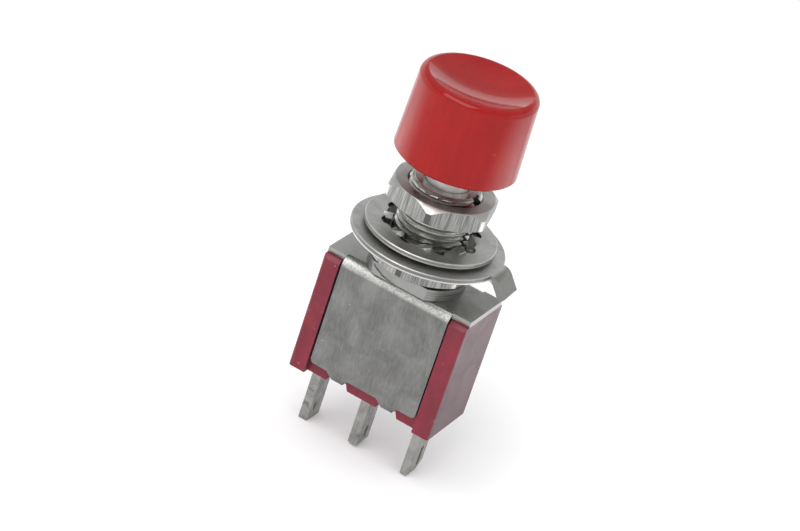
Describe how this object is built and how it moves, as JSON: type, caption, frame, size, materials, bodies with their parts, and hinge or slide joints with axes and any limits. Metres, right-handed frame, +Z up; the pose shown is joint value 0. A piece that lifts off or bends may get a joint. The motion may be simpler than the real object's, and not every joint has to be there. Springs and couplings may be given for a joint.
{
  "type": "push-button switch",
  "caption": "Small momentary push-button switch with a round dished cap, threaded keyed bushing with nuts and washers, sheet-metal frame and solder lugs.",
  "frame": {"origin": "on the bushing's axis at the top face of the sheet frame, where the bushing's flange seats", "axes": "+Z up the bushing, the way it leaves the case; +X along the row of lugs, towards the keyway and the locking ring's tab; -Y is the front"},
  "size_m": [0.0145, 0.0126, 0.0338],
  "materials": {
    "cap_plastic": "glossy moulded",
    "case_plastic": "satin moulded",
    "frame_steel": "satin plated sheet",
    "bushing_nickel": "bright nickel plate",
    "nut_nickel": "bright nickel plate",
    "washer_nickel": "bright nickel plate",
    "plunger_metal": "turned, bright",
    "spring_wire": "drawn wire",
    "guide_nylon": "moulded nylon",
    "lever_metal": "die cast",
    "pin_steel": "ground",
    "rocker_brass": "stamped",
    "contact_silver": "silver plate",
    "lug_silver": "silver plate",
    "seal_resin": "poured resin"
  },
  "bodies": {
    "switch": {"bushing": "bushing_nickel", "upper_nut": "nut_nickel", "lock_washer": "washer_nickel", "locking_ring": "washer_nickel", "lower_nut": "nut_nickel", "frame": "frame_steel", "case": "case_plastic", "guide_plate": "guide_nylon", "pivot_pin": "pin_steel", "contact_left": "contact_silver", "contact_right": "contact_silver", "lug_left": "lug_silver", "lug_centre": "lug_silver", "lug_right": "lug_silver", "terminal_seal": "seal_resin"},
    "button": {"cap": "cap_plastic", "plunger": "plunger_metal", "return_spring": "spring_wire"},
    "lever": {"lever": "lever_metal", "drive_pin": "pin_steel", "tip_spring": "spring_wire", "tip_pin": "guide_nylon"},
    "rocker": {"rocker": "rocker_brass", "rocker_contacts": "contact_silver"}
  },
  "joints": [
    {"name": "plunger_slide", "type": "slide", "parent": "switch", "child": "button", "axis": [0, 0, -1], "range_m": [0, 0.0018], "stiffness_N_per_m": 600, "springref_m": -0.00167, "deforming": ["return_spring"]},
    {"name": "lever_tilt", "type": "hinge", "parent": "switch", "child": "lever", "pos_m": [0, 0, -0.00397], "axis": [0, -1, 0], "range_deg": [0, 22]},
    {"name": "rocker_tilt", "type": "hinge", "parent": "switch", "child": "rocker", "pos_m": [0, 0, -0.00736], "axis": [0, 1, 0], "range_deg": [0, 14]}
  ],
  "couplings": [
    {"joint": "lever_tilt", "follows": "plunger_slide", "rad_per_m": 213.3},
    {"joint": "rocker_tilt", "follows": "plunger_slide", "rad_per_m": 135.7}
  ]
}
